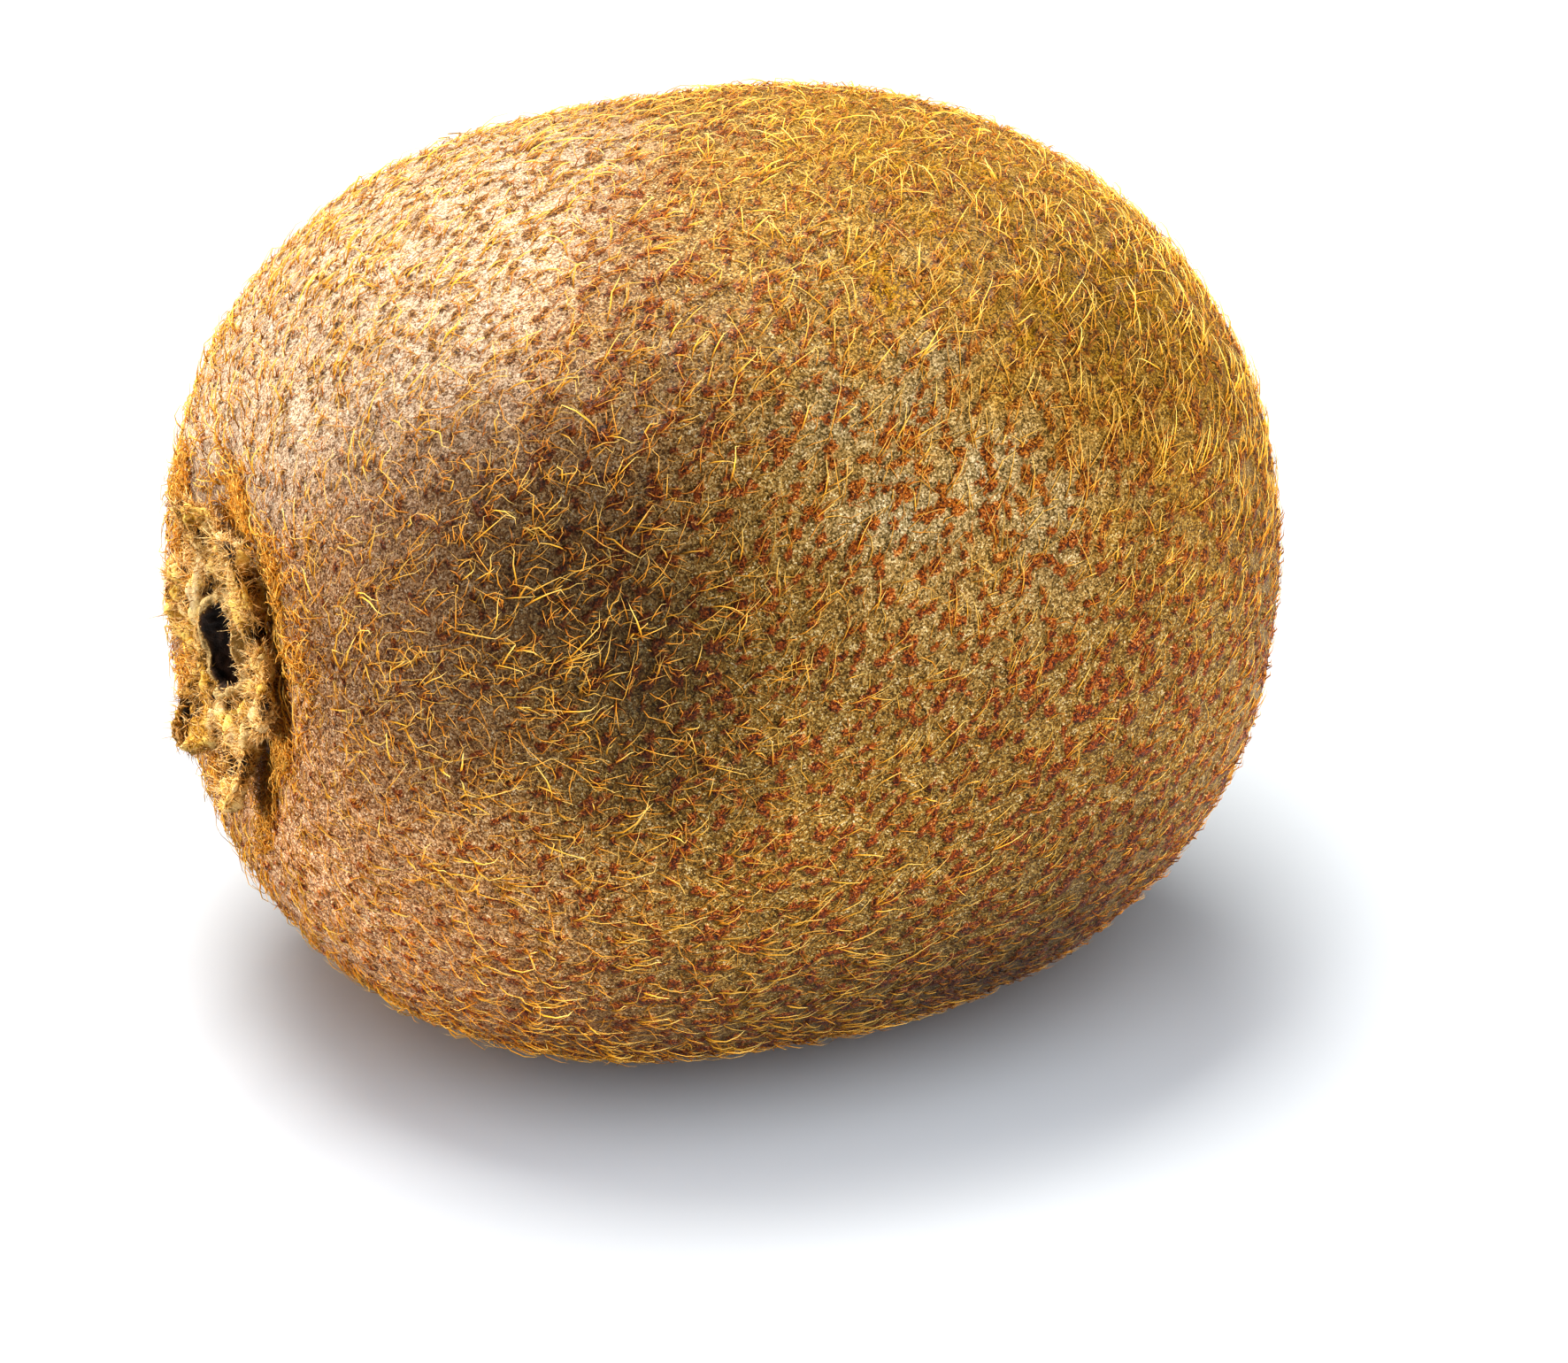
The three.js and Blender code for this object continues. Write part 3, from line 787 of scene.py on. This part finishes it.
draw = np.random.default_rng(41)
normals = outward(points, faces)
pick = draw.integers(0, len(points), FELT_HAIRS)
ways = unit(normals[pick] + draw.normal(size=(FELT_HAIRS, 3)) * FELT_SPREAD)
length = draw.uniform(*FELT_LENGTH, FELT_HAIRS)
bend = draw.normal(size=(FELT_HAIRS, 3)) * FELT_BEND
path = tangled(points[pick] - normals[pick] * ROOT_DEPTH, ways, length, bend, 2)
out = np.broadcast_to(normals[pick][:, None], path.shape)
felt_hair = hair_material("pale_felt_hair", "#9c6c2c", "#eeb862", "#ffe6b0", 0.6)
tubes("sepal_felt", path, out, draw.uniform(*FELT_HALF_THICKNESS, FELT_HAIRS), felt_hair)

# The collar: a fringe of curly orange hairs in clumps on the rim of the basin, which falls over the
# tips of the sepals.
COLLAR_HAIRS = 2900
COLLAR_RADIUS = (7.0, 12.6)
COLLAR_LENGTH = (0.6, 1.7)
COLLAR_HALF_THICKNESS = (0.03, 0.06)

draw = np.random.default_rng(51)
turned = draw.uniform(0, TURN, 3 * COLLAR_HAIRS)
far = between(draw.beta(1.3, 2.2, 3 * COLLAR_HAIRS), *COLLAR_RADIUS) * (1 + 0.08 * np.sin(3 * turned))
y, z = far * np.cos(turned), far * np.sin(turned)
roots = np.stack([face_x(STEM, y, z), y, z], axis=1)
crowding = noise(roots, 3.0, 52) + 0.3 * draw.uniform(-1, 1, len(roots))
roots = roots[np.argsort(-crowding)[:COLLAR_HAIRS]]
normals = skin_normals(ways_to(roots))
inwards = unit(-roots * [0, 1, 1])
inwards = unit(inwards - normals * np.sum(inwards * normals, axis=1, keepdims=True))
heads = turned_by(inwards, normals, draw.normal(size=COLLAR_HAIRS) * 1.8)
looks = (
    draw.normal(size=COLLAR_HAIRS) * 3.2,
    draw.normal(size=COLLAR_HAIRS) * 1.4,
    draw.uniform(0.05, 0.3, COLLAR_HAIRS),
    draw.uniform(0.05, 0.5, COLLAR_HAIRS),
)
path, out = combed(roots, heads, draw.uniform(*COLLAR_LENGTH, COLLAR_HAIRS), looks, 5)
half = draw.uniform(*COLLAR_HALF_THICKNESS, COLLAR_HAIRS)
tubes("collar_hairs", path, out, half, orange_hair)

# The stem scar: the torn end of the stalk, a shallow woody cup with a felted, uneven lip. Its profile
# gives the share of the radius and the height over the skin.
SCAR_RADIUS = 3.1
SCAR_PROFILE = [(0, 0.35), (0.9, 0.35), (1, 0.85), (1.02, 1.6), (0.97, 2.05)]
SCAR_PROFILE += [(0.84, 1.9), (0.76, 1.2), (0.55, 0.7), (0, 0.55)]
SCAR_ROWS = 60


def along_profile(corners, rows):
    """The share of the radius and the height at even steps along a profile, straight between corners."""
    profile = np.array(corners)
    steps = np.linspace(0, len(profile) - 1, rows)
    return [np.interp(steps, np.arange(len(profile)), column)[:, None] for column in profile.T]


share, height = along_profile(SCAR_PROFILE, SCAR_ROWS)
turned = np.linspace(0, TURN, 96, endpoint=False)[None, :]
uneven = 0.5 * np.sin(3 * turned + 1) + 0.5 * np.sin(5 * turned)
far = share * SCAR_RADIUS * (1 - 0.05 * (1 + uneven))
height = height + 0.35 * uneven * np.clip((height - 1.2) / 0.8, 0, 1)
y, z = far * np.cos(turned), far * np.sin(turned)
points, faces = skin_over(np.stack([face_x(STEM, y, z) - height, y, z], axis=-1))
lumps = 0.3 * noise(points, 0.9, 21) + 0.16 * noise(points, 0.35, 22)
reach = np.hypot(points[:, 1], points[:, 2]) / SCAR_RADIUS
points = points + outward(points, faces) * lumps[:, None]
scar = new_piece("stem_scar_wood", points, faces)
mark(scar, "rim", np.clip((reach - 0.77) / 0.12, 0, 1) + lumps)
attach(scar, "root")
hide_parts("stem_scar")

# Torn stalk: fibrous brown cork, with painted shade, nearly black, in the pit, and khaki felt on the lip,
# paler on its bumps, all of it matt.
CORK_GRAIN = 0.3

scar_finish, shader = new_material("torn_stalk")
place = add(scar_finish, "ShaderNodeTexCoord").outputs["Object"]
crumbs = add(
    scar_finish, "ShaderNodeTexNoise", {"Vector": place}, Scale=per_mm(CORK_GRAIN), Detail=4.0, Roughness=0.7
)
rim = add(scar_finish, "ShaderNodeAttribute", attribute_name="rim").outputs["Fac"]
# Painted shade: the pit, deep in the cup, is nearly black, and the lip's dips are darker than its bumps.
mixed = add(
    scar_finish, "ShaderNodeMath", {0: crumbs.outputs["Fac"], 2: rim}, {1: 0.5}, operation="MULTIPLY_ADD"
)
cork = add(
    scar_finish,
    "ShaderNodeValToRGB",
    {"Fac": mixed.outputs[0]},
    [(0.3, "#1a0d06"), (0.7, "#382210"), (1.0, "#8e7040"), (1.0, "#d8be84")],
)
scar_finish.node_tree.links.new(cork.outputs[0], shader.inputs["Base Color"])
grit = add(
    scar_finish, "ShaderNodeBump", {"Height": crumbs.outputs["Fac"]}, {"Strength": 1.0, "Distance": 0.0003}
)
scar_finish.node_tree.links.new(grit.outputs["Normal"], shader.inputs["Normal"])
shader.inputs["Roughness"].default_value = 0.9
scar.data.materials.append(scar_finish)

# The lip's felt: the same pale hairs as on the sepals, half as long. They cover the torn edge of the
# cup and leave its dark pit bare.
LIP_HAIRS = 700
LIP_REACH = 0.8

draw = np.random.default_rng(61)
normals = outward(points, faces)
pick = draw.choice(np.flatnonzero(reach > LIP_REACH), LIP_HAIRS)
ways = unit(normals[pick] + draw.normal(size=(LIP_HAIRS, 3)) * FELT_SPREAD)
bend = draw.normal(size=(LIP_HAIRS, 3)) * FELT_BEND
length = 0.5 * draw.uniform(*FELT_LENGTH, LIP_HAIRS)
path = tangled(points[pick] - normals[pick] * ROOT_DEPTH, ways, length, bend, 2)
out = np.broadcast_to(normals[pick][:, None], path.shape)
tubes("lip_felt", path, out, draw.uniform(*FELT_HALF_THICKNESS, LIP_HAIRS), felt_hair)

# The style tuft: the dried styles of the flower, stiff dark bristles that droop outwards from a low
# woody button in the dimple of the blossom end.
STYLES = 22
STYLE_ROOTS = (0.9, 1.4)
STYLE_LENGTH = 3.4
STYLE_HALF_THICKNESS = 0.26
BUTTON_RADIUS = 2.3
BUTTON_PROFILE = [(0, 0), (0.9, 0), (1, 0.35), (0.8, 0.85), (0.4, 0.95), (0, 0.7)]
BUTTON_ROWS = 40

share, height = along_profile(BUTTON_PROFILE, BUTTON_ROWS)
turned = np.linspace(0, TURN, 72, endpoint=False)[None, :]
y, z = share * BUTTON_RADIUS * np.cos(turned), share * BUTTON_RADIUS * np.sin(turned)
points, faces = skin_over(np.stack([face_x(BLOSSOM, y, z) + GAP + height, y, z], axis=-1))
lumps = 0.15 * noise(points, 0.8, 31) + 0.08 * noise(points, 0.3, 32)
button = new_piece("style_button", points + outward(points, faces) * lumps[:, None], faces)
# Painted shade: the button is paler on its bumps and darker in its dips.
mark(button, "along", np.clip(0.2 + 2 * lumps, 0, 1))
mark(button, "tint_and_painted_shade", np.clip(0.9 + 2.5 * lumps, 0.4, 1.4))
style_finish = hair_material("dried_style", "#1e120a", "#3e2816", "#6e4e2c", 0.6)
button.data.materials.append(style_finish)
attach(button, "root")
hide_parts("style_tuft")

drawn = seeded(5)
paths = []
for i in range(STYLES):
    s = np.linspace(0, 1, 11)
    angle = TURN * (i + between(next(drawn), -0.25, 0.25)) / STYLES
    length = STYLE_LENGTH * between(next(drawn), 0.55, 0.85)
    bend = between(next(drawn), -0.35, 0.35)
    far = STYLE_ROOTS[i % 2] + length * np.sin(1.1 * s)
    turned = angle + bend * s**2
    y, z = far * np.cos(turned), far * np.sin(turned)
    height = GAP + 0.5 + 1.3 * np.sin(2 * s) + 0.12 * np.sin(9 * s + 5 * bend)
    paths.append(np.stack([face_x(BLOSSOM, y, z) + height, y, z], axis=-1))
path = np.array(paths)
out = np.broadcast_to([1.0, 0, 0], path.shape)
tubes("styles", path, out, STYLE_HALF_THICKNESS, style_finish, sides=8)

# The studio: a sheet of white paper, five softboxes for the fruit, and two for the paper alone. The paper
# gives the fruit no bounce light, and only the key and the sheen box shine on the skin.
FLOOR_HALF = 4.0
LIGHT_DISTANCE = 0.8
CAMERA_AZIMUTH = -22.2
CAMERA_ELEVATION = 24.0
CAMERA_DISTANCE = 0.400
PICTURE = (1772, 1540)
FRUIT_MIDDLE = (820, 634)
FOCAL_PIXELS = 7850
SENSOR = 36.0

floor_mesh = bpy.data.meshes.new("floor")
corners = [(-FLOOR_HALF, -FLOOR_HALF, 0), (FLOOR_HALF, -FLOOR_HALF, 0)]
corners += [(FLOOR_HALF, FLOOR_HALF, 0), (-FLOOR_HALF, FLOOR_HALF, 0)]
floor_mesh.from_pydata(corners, [], [(0, 1, 2, 3)])
floor = bpy.data.objects.new("floor", floor_mesh)
bpy.context.collection.objects.link(floor)
floor_finish, shader = new_material("white_paper")
shader.inputs["Base Color"].default_value = tint("#f1f4f4")
shader.inputs["Roughness"].default_value = 0.9
floor.data.materials.append(floor_finish)
floor.visible_diffuse = False


def compass(azimuth, elevation):
    """The unit vector towards an azimuth, 0 in front and 90 on the right, and an elevation."""
    a, e = math.radians(azimuth), math.radians(elevation)
    return np.array([math.sin(a) * math.cos(e), -math.cos(a) * math.cos(e), math.sin(e)])


def look(thing, place, target):
    """Puts a thing at a place and points its -Z axis at the target."""
    thing.location = place
    thing.rotation_mode = "QUATERNION"
    thing.rotation_quaternion = Vector(target - place).to_track_quat("-Z", "Y")


heart = SHIFT * 0.001
back = compass(CAMERA_AZIMUTH, CAMERA_ELEVATION)
right = compass(CAMERA_AZIMUTH + 90, 0)
up = np.cross(back, right)
aside = (PICTURE[0] / 2 - FRUIT_MIDDLE[0]) / FOCAL_PIXELS * CAMERA_DISTANCE
below = (PICTURE[1] / 2 - FRUIT_MIDDLE[1]) / FOCAL_PIXELS * CAMERA_DISTANCE
camera = bpy.data.objects.new("camera", bpy.data.cameras.new("camera"))
bpy.context.collection.objects.link(camera)
camera.data.sensor_width = SENSOR
camera.data.lens = FOCAL_PIXELS / PICTURE[0] * SENSOR
camera.data.clip_start = 0.01
look(camera, heart + back * CAMERA_DISTANCE, heart + aside * right - below * up)
bpy.context.scene.camera = camera


def soft_light(name, turned, elevation, size, power, colour, floor_state="EXCLUDE", deep=None, shine=True):
    """A softbox turned that many degrees to the right of the camera, that lights either all but the
    floor or the floor alone. It is square, unless its depth is given. Without shine it lights a piece
    but isn't mirrored in its gloss."""
    light = bpy.data.objects.new(name, bpy.data.lights.new(name, "AREA"))
    bpy.context.collection.objects.link(light)
    light.data.shape = "RECTANGLE"
    light.data.size = size
    light.data.size_y = deep or size
    light.visible_glossy = shine
    light.data.energy = power
    light.data.color = tint(colour)[:3]
    lit = bpy.data.collections.new(f"{name}_lit")
    lit.objects.link(floor)
    lit.collection_objects[0].light_linking.link_state = floor_state
    light.light_linking.receiver_collection = lit
    look(light, heart + compass(CAMERA_AZIMUTH + turned, elevation) * LIGHT_DISTANCE, heart)


soft_light("key", -146, 48, 0.24, 18.0, "#fff0dc")
soft_light("left_fill", -90, 5, 0.4, 15.0, "#fff2e4", shine=False)
soft_light("right_fill", 86, 10, 0.4, 1.4, "#ffc474", shine=False)
soft_light("front_fill", 34, 12, 0.4, 4.6, "#ffe0b8", shine=False)
soft_light("sheen", 44, 31, 0.2, 7.8, "#fffcf4")
soft_light("over_floor", -125, 80, 0.55, 6.6, "#ffffff", "INCLUDE", 0.38)
soft_light("floor_fill", 0, 45, 1.0, 8.6, "#eef4ff", "INCLUDE")

world = bpy.data.worlds.new("sky")
bpy.context.scene.world = world
world.use_nodes = True
sky = world.node_tree.nodes["Background"]
sky.inputs["Color"].default_value = tint("#fff0d8")
sky.inputs["Strength"].default_value = 0.06
bpy.context.scene.view_settings.view_transform = "Standard"
